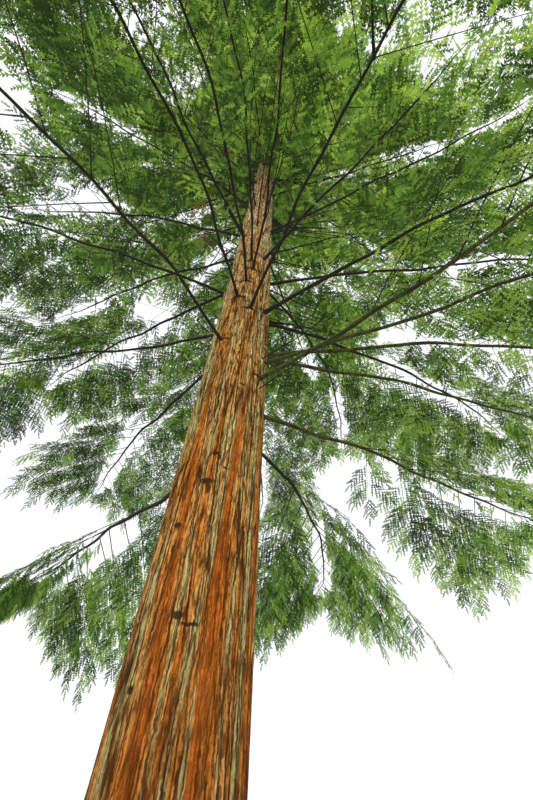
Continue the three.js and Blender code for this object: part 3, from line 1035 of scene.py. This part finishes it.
# Branches on one stem, by the rule that places the solids' twigs, but closer together
def branchesOn(stem):
    rule = branch
    last = stem["reach"] * rule["lastShare"]
    count = max(int((last - stem["leafy"]) / rule["spacing"]), rule["fewest"])
    number = np.arange(count)
    jitter = rule["placeScatter"] * branchDraws(stem, "place", number)
    place = ((number + 0.5 + jitter) / count) ** rule["crowding"]
    out = lerp(stem["leafy"], last, place)
    outward = stemDirection(stem, out)
    right = np.where(number % 2 == 0, 1, -1)
    angle = np.radians(rule["angle"] + rule["angleScatter"] * branchDraws(stem, "angle", number))
    hang = lerp(rule["hangLow"], rule["hangHigh"], stem["steepness"])
    hang = hang * (1 + rule["hangScatter"] * branchDraws(stem, "hang", number))
    high = min(1, stem["steepness"] / rule["steepShare"])
    tilt = high * np.where(number % 4 < 2, rule["tiltUp"], -rule["tiltDown"])
    roll = math.radians(lerp(rule["rollLow"], rule["rollHigh"], high))
    roll = roll * branchDraws(stem, "roll", number)
    weep = rule["weeping"].get(stem["limb"], 0)
    sideways = levelAcross(outward) * right[:, None]
    along = swung(outward, sideways, angle)
    along = unit(along + upward * (np.sin(np.radians(tilt - hang)) - weep)[:, None])
    level = levelAcross(along)
    side = swung(level, np.cross(along, level), roll)
    scatter = 1 + rule["lengthScatter"] * branchDraws(stem, "size", number)
    size = fullness(place, *rule["fullness"]) * scatter
    length = np.clip(rule["lengthShare"] * stem["limbReach"], rule["least"], rule["most"]) * size
    left = (stem["reach"] - out) / np.cos(angle) + rule["beyond"] * stem["reach"] ** 0.5
    length = np.minimum(length, left)
    tipFoot = stemPoint(stem, stem["reach"] * rule["tipFrom"])
    tip = stemPoint(stem, stem["reach"] * rule["tipTo"]) - tipFoot
    return {
        "foot": np.concatenate([strayedPath(stem, out), tipFoot[None]]),
        "along": np.concatenate([along, unit(tip)[None]]),
        "side": np.concatenate([side, levelAcross(tip)[None]]),
        "length": np.append(length, np.linalg.norm(tip)),
        "sag": np.append(np.full(count, rule["sag"] * (1 - rule["sagLess"] * high)), rule["tipSag"]),
        "limb": np.full(count + 1, stem["limb"]),
        "weep": np.full(count + 1, weep + rule["weep"] * (1 - high)),
    }


# The rows of several sets of ribs, one set after the other
def joined(groups):
    return {key: np.concatenate([group[key] for group in groups]) for key in groups[0]}


# The rows that a mask or a list of numbers picks
def chosenRibs(ribs, keep):
    return {key: values[keep] for key, values in ribs.items()}


# A point on each rib: straight along it, less a sag that grows as the square of the share
def ribPoint(ribs, share):
    far = (share * ribs["length"])[:, None]
    drop = (ribs["sag"] * ribs["length"] * np.square(share))[:, None]
    return ribs["foot"] + ribs["along"] * far - upward * drop


# Points all along each rib
def ribPaths(ribs, shares):
    return np.stack([ribPoint(ribs, share) for share in shares], 1)


# How full a spray is along its rib: an arch of a sine, between two shares of its half turn, to a power
def fullness(place, low, high, power):
    return np.sin(np.pi * lerp(low, high, place)) ** power


# Whether points lie inside the crown's furthest reach and below its tip
def withinCrown(points):
    near = np.hypot(points[:, 0], points[:, 1]) < crownEdge["reach"]
    return near & (points[:, 2] < crownEdge["top"])


# The stems' lines as short segments, with their heights stretched as the space rule counts them
def stemSegments():
    starts, ends, limbs = [], [], []
    for stem in stems:
        line = stemPoint(stem, np.linspace(stem["start"], stem["reach"], spaceRule["samples"]))
        line[:, 2] *= spaceRule["flatness"]
        starts.append(line[:-1])
        ends.append(line[1:])
        limbs.append(np.full(len(line) - 1, stem["limb"]))
    return np.concatenate(starts), np.concatenate(ends), np.concatenate(limbs)


segmentStart, segmentEnd, segmentLimb = stemSegments()


# Whether points lie nearer to their own limb's stems than to any other's, and clear of the trunk
def inOwnSpace(points, limb):
    flat = points * [1, 1, spaceRule["flatness"]]
    way = segmentEnd - segmentStart
    squares = np.sum(way**2, -1)
    kept = np.zeros(len(points), bool)
    for start in range(0, len(points), spaceRule["atOnce"]):
        part = slice(start, start + spaceRule["atOnce"])
        toPoint = flat[part, None] - segmentStart[None]
        share = np.clip(np.einsum("nsk,sk->ns", toPoint, way) / squares, 0, 1)
        apart = np.linalg.norm(toPoint - share[..., None] * way, axis=-1)
        mine = segmentLimb == limb[part, None]
        own = np.where(mine, apart, np.inf).min(1)
        other = np.where(mine, np.inf, apart).min(1)
        kept[part] = own + spaceRule["margin"] < other
    away = points - trunkAxis(points[:, 2])
    clear = np.hypot(away[:, 0], away[:, 1]) > taperRadius(points[:, 2]) + spaceRule["trunkMargin"]
    return kept & clear


# Each branch at the longest of its lengths whose spray keeps to the limb's space and the crown's edge, as
# its tip and two places beside it show
def fittedBranches(ribs):
    length = np.zeros(len(ribs["length"]))
    for share in branch["shorter"]:
        tried = dict(ribs, length=ribs["length"] * share)
        fits = length == 0
        for far, wide in branch["tested"]:
            spot = ribPoint(tried, far)
            spot = spot + tried["side"] * (wide * branch["width"] * tried["length"])[:, None]
            fits &= inOwnSpace(spot, ribs["limb"]) & withinCrown(spot)
        length = np.where(fits, tried["length"], length)
    return chosenRibs(dict(ribs, length=length), length > 0)


# Sprays are finer low in the crown, close to the eye, and coarser above. Lengths in metres
zones = {
    "low": {
        "below": 6.65,
        "frond": {"spacing": 0.085, "length": 0.40, "parentShare": 0.55},
        "shoot": {"spacing": 0.028, "length": 0.118, "parentShare": 0.62},
        "needle": 0.032,
    },
    "middle": {
        "below": 8.8,
        "frond": {"spacing": 0.10, "length": 0.42, "parentShare": 0.55},
        "shoot": {"spacing": 0.040, "length": 0.148, "parentShare": 0.62},
        "needle": 0.042,
    },
    "high": {
        "below": 30,
        "frond": {"spacing": 0.155, "length": 0.52, "parentShare": 0.6},
        "shoot": {"spacing": 0.073, "length": 0.240, "parentShare": 0.7},
        "needle": 0.092,
    },
}
sprouting = {
    "frond": {"first": 0.15, "angle": 52, "scatter": 9, "roll": 16, "lift": 4, "sag": 0.05, "droop": 1.0},
    "shoot": {"first": 0.10, "angle": 46, "scatter": 9, "roll": 14, "lift": 3, "sag": 0.10, "droop": 0.7},
}
sprouted = {
    "least": 3,
    "jitter": 0.3,
    "last": 0.97,  # share of the parent's length
    "fullness": (0.30, 0.88, 0.7),
    "lengthScatter": 0.2,
    "endTurn": 0.15,
    "endLength": 0.8,
}


# Finer ribs on each rib: one for each spacing of its length, on alternate sides, turned out in the rib's
# own plane with some roll and droop, longest before the middle, and the last one going straight on
def sprout(ribs, kind, sizes, random):
    rule = dict(sprouting[kind], **sprouted)
    counts = np.maximum(np.round(ribs["length"] / sizes["spacing"]), rule["least"]).astype(int)
    parent = np.repeat(np.arange(len(counts)), counts)
    order = np.arange(counts.sum()) - np.repeat(np.cumsum(counts) - counts, counts)
    own = chosenRibs(ribs, parent)
    jitter = random.uniform(-rule["jitter"], rule["jitter"], len(parent))
    share = lerp(rule["first"], rule["last"], (order + 0.5 + jitter) / counts[parent])
    ends = order == counts[parent] - 1
    share = np.where(ends, rule["last"], share)
    tangent = unit(own["along"] - upward * (2 * own["sag"] * share)[:, None])
    side = unit(own["side"] - tangent * np.sum(own["side"] * tangent, -1, keepdims=True))
    face = np.cross(side, tangent)
    scatter = random.uniform(-1, 1, (3, len(parent)))
    angle = np.radians(rule["angle"] + rule["scatter"] * scatter[0]) * np.where(order % 2 == 0, 1, -1)
    angle = np.where(ends, rule["endTurn"] * scatter[0], angle)
    along = swung(tangent, side, angle)
    along = along + face * np.radians(rule["lift"] * 2 * scatter[1])[:, None]
    along = unit(along - upward * (rule["droop"] * own["weep"])[:, None])
    across = swung(side, -tangent, angle)
    across = unit(across - along * np.sum(across * along, -1, keepdims=True))
    most = np.minimum(sizes["length"], sizes["parentShare"] * own["length"])
    length = most * fullness(share, *rule["fullness"])
    length = length * (1 + rule["lengthScatter"] * random.uniform(-1, 1, len(parent)))
    return {
        "foot": ribPoint(own, share),
        "along": along,
        "side": swung(across, np.cross(along, across), np.radians(rule["roll"] * scatter[2])),
        "length": np.where(ends, most * rule["endLength"], length),
        "sag": np.full(len(parent), rule["sag"]),
        "limb": own["limb"],
        "weep": own["weep"],
        "parent": parent,
        "share": share,
    }


# Openings where the photograph shows sky: middle and half size in pixels, and how thin the sprays are there
skyGaps = [
    ((150, 22), (22, 28), 0.8),
    ((201, 76), (8, 12), 0.85),
    ((78, 200), (50, 20), 0.9),
    ((60, 262), (14, 9), 0.7),
    ((12, 170), (14, 26), 0.6),
    ((150, 308), (22, 16), 0.85),
    ((122, 356), (12, 15), 0.8),
    ((130, 430), (14, 14), 0.8),
    ((337, 28), (9, 14), 0.85),
    ((418, 74), (19, 16), 0.9),
    ((512, 58), (20, 12), 0.9),
    ((528, 140), (12, 24), 0.7),
    ((365, 122), (20, 9), 0.6),
]
# Parts where the sky shows as specks between the shoots, in the same terms
speckled = [
    ((62, 50), (68, 50), 0.18),
    ((172, 50), (44, 56), 0.4),
    ((40, 175), (50, 40), 0.15),
    ((480, 70), (62, 60), 0.3),
]


# How far lines are from the camera where they show in the photograph's frame, widened by some pixels
def lineScreen(lines, wide):
    screen = np.zeros(photo["size"])
    for line in lines:
        pixels = toPixels(line).round().astype(int)
        far = np.linalg.norm(line - cameraPlace, axis=-1)
        for shift in np.ndindex(2 * wide + 1, 2 * wide + 1):
            x, y = (pixels + shift - wide).T
            inside = inFrame(x, y)
            np.maximum.at(screen, (x[inside], y[inside]), far[inside])
    return screen


# What the photograph shows from below
shown = {
    "limbsBelow": 13,
    "limbPart": 0.92,
    "trunk": (2.5, 11.2),  # heights
    "angles": (-180, 1, 3),  # round the trunk's near side
    "widths": {"limbs": 3, "whips": 1, "trunk": 2},  # in pixels to each side
    "samples": 1500,
    "hidingShoots": 0.9,  # the share that goes of those before a limb
    "hidingFronds": 0.97,  # and before the trunk
    "places": (0.4, 1.0),  # on a rib
}


# Points all along some limbs, from the trunk to near their tips
def limbLines(limbs):
    ends = [(stem["start"], shown["limbPart"] * stem["reach"]) for stem in limbs]
    return [strayedPath(stem, np.linspace(*pair, shown["samples"])) for stem, pair in zip(limbs, ends)]


frontLimbs = [stem for stem in stems if stem["order"] == 0 and stem["root"][2] < shown["limbsBelow"]]
frontLimbs += seenStems
trunkHeights = np.linspace(*shown["trunk"], shown["samples"])
trunkLines = [onTrunk(trunkHeights, angle) for angle in np.radians(np.arange(*shown["angles"]))]
shownLines = {"limbs": limbLines(frontLimbs), "whips": limbLines(whipStems), "trunk": trunkLines}
screens = {name: lineScreen(lines, shown["widths"][name]) for name, lines in shownLines.items()}
limbsShown = np.maximum(screens["limbs"], screens["whips"])


# Which ribs stay: most of those go that hang between the camera and what it shows
def notBefore(ribs, screen, share, random):
    keep = random.random(len(ribs["length"])) > share
    hidden = np.zeros(len(keep), bool)
    for place in shown["places"]:
        spots = ribPoint(ribs, place)
        x, y = toPixels(spots).round().astype(int).T
        inside = inFrame(x, y)
        far = screen[np.where(inside, x, 0), np.where(inside, y, 0)] * inside
        hidden |= np.linalg.norm(spots - cameraPlace, axis=-1) < far
    return keep | ~hidden


# Which ribs stay: those in a gap go, by chance
def outsideGaps(ribs, gaps, random):
    pixels = toPixels(ribPoint(ribs, 0.5))
    draw = random.random(len(pixels))
    keep = np.ones(len(pixels), bool)
    for middle, half, thin in gaps:
        off = np.hypot(*((pixels - middle) / half).T)
        keep &= (off > 1) | (draw > thin)
    return keep


needle = {
    "pairs": 5,  # on each shoot
    "angle": 50,
    "angleScatter": 12,
    "sweep": 14,  # how much less the angle is at the shoot's tip
    "lengths": (0.8, 1.15),
    "fullness": (0.22, 0.93, 0.55),
    "fold": 0.16,  # how far the tips stand out of the shoot's plane, over their length
}


# Needles of many shoots at once: two for each step of the shoot, with their feet along its rib and their
# tips swept forward, shorter at both ends
def needlePoints(shoots, longest, random):
    grid = (len(shoots["length"]), needle["pairs"])
    share = np.linspace(0, 1, needle["pairs"] + 1)
    rib = ribPaths(shoots, share)
    middle = (rib[:, 1:] + rib[:, :-1]) / 2
    place = (share[1:] + share[:-1]) / 2
    full = fullness(place, *needle["fullness"])
    face = np.cross(shoots["side"], shoots["along"])
    tips = []
    for right in (1, -1):
        length = longest * full * random.uniform(*needle["lengths"], grid)
        scatter = random.uniform(-1, 1, grid) * needle["angleScatter"]
        angle = np.radians(needle["angle"] + scatter - needle["sweep"] * place)
        ahead = (length * np.cos(angle))[..., None] * shoots["along"][:, None]
        out = (length * np.sin(angle))[..., None] * shoots["side"][:, None] * right
        lift = (length * random.uniform(-1, 1, grid) * needle["fold"])[..., None] * face[:, None]
        tips.append(middle + ahead + out + lift)
    return np.concatenate([rib, *tips], 1)


# One face for each needle, from two points of the rib to the needle's tip
def needleFaces(count):
    pairs = needle["pairs"]
    step = np.arange(pairs)
    right = np.stack([step, step + 1, pairs + 1 + step], -1)
    left = np.stack([step + 1, step, 2 * pairs + 1 + step], -1)
    one = np.concatenate([right, left])
    return (one[None] + (np.arange(count) * (3 * pairs + 1))[:, None, None]).reshape(-1, 3)


leafColours = {
    "needles_deep": (0.022, 0.052, 0.010),
    "needles_dark": (0.052, 0.118, 0.021),
    "needles_mid": (0.105, 0.215, 0.035),
    "needles_bright": (0.175, 0.320, 0.050),
    "needles_light": (0.270, 0.430, 0.075),
    "needles_dead": (0.200, 0.108, 0.042),
}
leafShares = (0.25, 0.33, 0.25, 0.12, 0.05)  # of the sprays, deep to light
lightThrough = (2.2, 1.9, 1.2)  # the colour of light through a needle, over the needle's own
throughShare = 0.4
deadColour = len(leafColours) - 1
deadPixels = [(205, 235), (208, 208), (275, 68), (60, 66)]
deadRadius = 6.5
# How much lighter a frond is, in shares of the draw, and where. Lighter to the right and high in the crown is
# painted light
lightLean = {
    "right": 0.20,
    "rightOver": 4,
    "outside": 0.09,
    "outsideFrom": 0.6,  # of the crown's reach
    "high": 0.20,
    "highFrom": 9,
    "highOver": 4,
    "even": -0.02,
    "clump": 0.14,
}


# Needles that let some light through from behind
def needleMaterial(name, colour):
    shader = Shader(name)
    surface = shader.principled((*colour, 1), 0.55, 0.2)
    through = tuple(min(1.0, part * tint) for part, tint in zip(colour, lightThrough))
    behind = shader.value("ShaderNodeBsdfTranslucent", sockets={"Color": (*through, 1)})
    sockets = {0: throughShare, 1: surface, 2: behind}
    return shader.finish(shader.value("ShaderNodeMixShader", sockets=sockets))


# A colour for each frond: by chance, lighter to the right and high in the crown as painted light (light from
# behind on the right, lifted shade high up), lighter at the outside of the crown, with clumps by a product of
# sines, and dead where a pixel shows it
def dealColours(fronds, random):
    middle = ribPoint(fronds, 0.5)
    away = np.hypot(middle[:, 0], middle[:, 1]) / np.maximum(crownReach(middle[:, 2]), 1)
    by = lightLean
    # Painted light: lighter to the right, where light comes through from behind
    lean = by["right"] * np.clip(middle[:, 0] / by["rightOver"], -1, 1)
    lean = lean + by["outside"] * (away - by["outsideFrom"]) + by["even"]
    # Painted light: lighter high in the crown, lifting its shade
    lean = lean + by["high"] * np.clip((middle[:, 2] - by["highFrom"]) / by["highOver"], 0, 1)
    clump = by["clump"] * np.sin(2.1 * middle[:, 0] + 1) * np.sin(1.9 * middle[:, 1] + 2 * middle[:, 2])
    draw = np.clip(random.random(len(middle)) + lean + clump, 0, 0.999)
    dealt = np.searchsorted(np.cumsum(leafShares), draw * sum(leafShares))
    pixels = toPixels(middle)
    for pixel in deadPixels:
        off = np.hypot(*(pixels - pixel).T)
        dealt = np.where(off < deadRadius, deadColour, dealt)
    return dealt


twigLook = {"sides": 3, "taper": 0.75, "branch": (5, 0.0055), "frond": (2, 0.0022)}  # rings and radius


# Three-sided twigs along ribs, tapering to their tips
def addTwigs(name, ribs, rings, radius, material):
    share = np.linspace(0, 1, rings)
    paths = ribPaths(ribs, share)
    thick = radius * np.sqrt(ribs["length"] / ribs["length"].mean())
    points = tubePoints(paths, thick[:, None] * (1 - twigLook["taper"] * share[None]), twigLook["sides"])
    faces = tubeFaces(len(paths), rings, twigLook["sides"])
    piece = addPiece(name, points, faces, [material])
    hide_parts(*foliageNodes(ribs["limb"]))


maxTriangles = 190000
shortestFrond = 0.06
colourShifts = ((-1, 0, 1), (0.33, 0.34, 0.33))  # of a shoot from its frond's, and how often
lightTips = 0.88  # shoots past this share of their frond are one colour lighter


# The foliage nodes of some limbs, each once
def foliageNodes(limbs):
    return [f"foliage_{number:02d}" for number in sorted(set(int(limb) for limb in limbs))]


# Short branches all round the trunk, by the golden angle, shorter towards the tip
def innerBranches():
    number = np.arange(inner["count"])
    share = number / (inner["count"] - 1)
    bearing = np.radians(goldenAngle * number)
    outward = np.stack([np.sin(bearing), -np.cos(bearing), 0 * bearing], -1)
    along = swung(outward, upward, np.radians(lerp(inner["riseLow"], inner["riseHigh"], share)))
    return {
        "foot": trunkAxis(lerp(inner["from"], inner["to"], share**inner["crowding"])),
        "along": along,
        "side": levelAcross(along),
        "length": lerp(inner["longest"], inner["shortest"], share),
        "sag": np.full(len(number), inner["sag"]),
        "limb": np.full(len(number), len(allLimbs)),
        "weep": np.zeros(len(number)),
    }


# The sprays of one zone: branches on its stems, fronds on them, shoots on those, and needles on the shoots
def addSprays(name, chosen, zone, needleMaterials, twigMaterial, random):
    branches = fittedBranches(joined([branchesOn(stem) for stem in chosen]))
    if name == "high":
        branches = joined([branches, innerBranches()])
    fronds = sprout(branches, "frond", zone["frond"], random)
    long = fronds["length"] > shortestFrond
    fronds = chosenRibs(fronds, outsideGaps(fronds, skyGaps, random) & long)
    fronds = chosenRibs(fronds, notBefore(fronds, screens["trunk"], shown["hidingFronds"], random))
    dealt = dealColours(fronds, random)
    shoots = sprout(fronds, "shoot", zone["shoot"], random)
    shoots = chosenRibs(shoots, withinCrown(ribPoint(shoots, 1)))
    seen = notBefore(shoots, limbsShown, shown["hidingShoots"], random)
    shoots = chosenRibs(shoots, seen & outsideGaps(shoots, speckled, random))
    counts = [f"{len(ribs['length'])} {kind}" for kind, ribs in (("fronds", fronds), ("shoots", shoots))]
    print(name, "zone:", len(branches["length"]), "branches", *counts)
    colour = dealt[shoots["parent"]]
    living = colour < deadColour
    shift = random.choice(colourShifts[0], len(colour), p=colourShifts[1])
    shift = shift + (shoots["share"] > lightTips)
    colour = np.where(living, np.clip(colour + shift, 0, len(leafShares) - 1), colour)
    points = needlePoints(shoots, zone["needle"], random)
    perShoot = 2 * needle["pairs"]
    perPiece = maxTriangles // perShoot
    for number, start in enumerate(range(0, len(points), perPiece), start=1):
        part = slice(start, start + perPiece)
        faces = needleFaces(len(points[part]))
        tones = np.repeat(colour[part], perShoot)
        piece = addPiece(f"needles_{name}_{number}", points[part], faces, needleMaterials, tones)
        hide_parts(*foliageNodes(shoots["limb"][part]))
    addTwigs(f"branches_{name}", branches, *twigLook["branch"], twigMaterial)
    addTwigs(f"twigs_{name}", fronds, *twigLook["frond"], twigMaterial)


# Sprays zone by zone, each on the limbs that leave the trunk between its heights
def addFoliage():
    random = np.random.default_rng(11)
    needleMaterials = [needleMaterial(name, tone) for name, tone in leafColours.items()]
    twigMaterial = boughMaterial("twig_bark")
    low = 0
    for name, zone in zones.items():
        chosen = [stem for stem in stems if low <= allLimbs[stem["limb"] - 1][0] < zone["below"]]
        addSprays(name, chosen, zone, needleMaterials, twigMaterial, random)
        low = zone["below"]


# The boughs, the other limbs, the stems that part from them, and the whips
def addBoughs():
    dark = boughMaterial("bough_bark")
    mossy = boughMaterial("mossy_bough_bark")
    single = [stem for stem in stems if stem["order"] == 0]
    boughs = [stem for stem in single if stem["limb"] <= len(mainBoughs)]
    boughNodes = [f"bough_{number:02d}" for number in range(1, len(mainBoughs) + 1)]
    addLimbs("main_boughs", boughs, [dark, mossy], boughNodes)
    others = [stem for stem in single if stem["limb"] > len(mainBoughs)]
    parted = [stem for stem in stems if stem["order"] > 0]
    for name, chosen in (("leafy_limbs", others), ("parted_limbs", parted)):
        addLimbs(name, chosen, [dark], foliageNodes([stem["limb"] for stem in chosen]))
    addLimbs("whips", whipStems, [dark], [])


# The trunk in three lengths, each a little way into the next
def addTrunk():
    material = barkMaterial()
    names = ("trunk_foot", "trunk_middle", "trunk_top")
    seams = bark["seams"]
    for name, low, high, sides, rings in zip(names, seams, seams[1:], bark["sides"], bark["rings"]):
        over = bark["overlap"] if high < tree["height"] else 0
        addTrunkPiece(name, low, high + over, sides, rings, material)


stage = {
    "radius": 60,
    "sides": 64,
    "below": 0.002,
    "floor": (0.82, 0.81, 0.79),
    "grain": (0.78, 0.77, 0.75),
    "sky": (0.95, 0.98, 1.0),
    "skyStrength": 1.15,
    "sunAngle": 40,  # wide, for soft shadows
    "suns": {  # where each shines from, its strength and its colour
        "front_sun": ((-0.45, -1.0, 0.26), 2.6, (1.0, 0.95, 0.88)),
        "side_sun": ((1.0, -0.8, 0.30), 0.7, (0.95, 0.97, 1.0)),
    },
}


# A round floor, an even sky and the suns
def addStage():
    turn = np.arange(stage["sides"]) * 2 * np.pi / stage["sides"]
    across, toward = stage["radius"] * np.cos(turn), stage["radius"] * np.sin(turn)
    rim = np.stack([across, toward, 0 * turn - stage["below"]], -1)
    mesh = bpy.data.meshes.new("floor")
    mesh.from_pydata(rim.tolist(), [], [list(range(len(rim)))])
    floor = bpy.data.objects.new("floor", mesh)
    bpy.context.scene.collection.objects.link(floor)
    shader = Shader("floor_paint")
    colour = shader.blend(shader.noise(shader.place(), (3, 3, 3), 2), stage["floor"], stage["grain"])
    mesh.materials.append(shader.finish(shader.principled(colour, 0.9)))
    world = bpy.data.worlds.new("soft_sky")
    world.use_nodes = True
    background = world.node_tree.nodes["Background"]
    background.inputs["Color"].default_value = (*stage["sky"], 1)
    background.inputs["Strength"].default_value = stage["skyStrength"]
    bpy.context.scene.world = world
    bpy.context.scene.view_settings.view_transform = "Standard"
    for name, measures in stage["suns"].items():
        addSun(name, *measures)


# A sun's own axes are columns: right, up and the way it shines from
def addSun(name, source, strength, colour):
    light = bpy.data.lights.new(name, "SUN")
    light.energy = strength
    light.angle = math.radians(stage["sunAngle"])
    light.color = colour
    holder = bpy.data.objects.new(name, light)
    back = unit(np.array(source, float))
    right = unit(np.cross(upward, back))
    turn = np.stack([right, np.cross(back, right), back], 1)
    holder.matrix_world = Matrix(turn.tolist()).to_4x4()
    bpy.context.scene.collection.objects.link(holder)


addCamera()
addStage()
addTrunk()
addBoughs()
addFoliage()
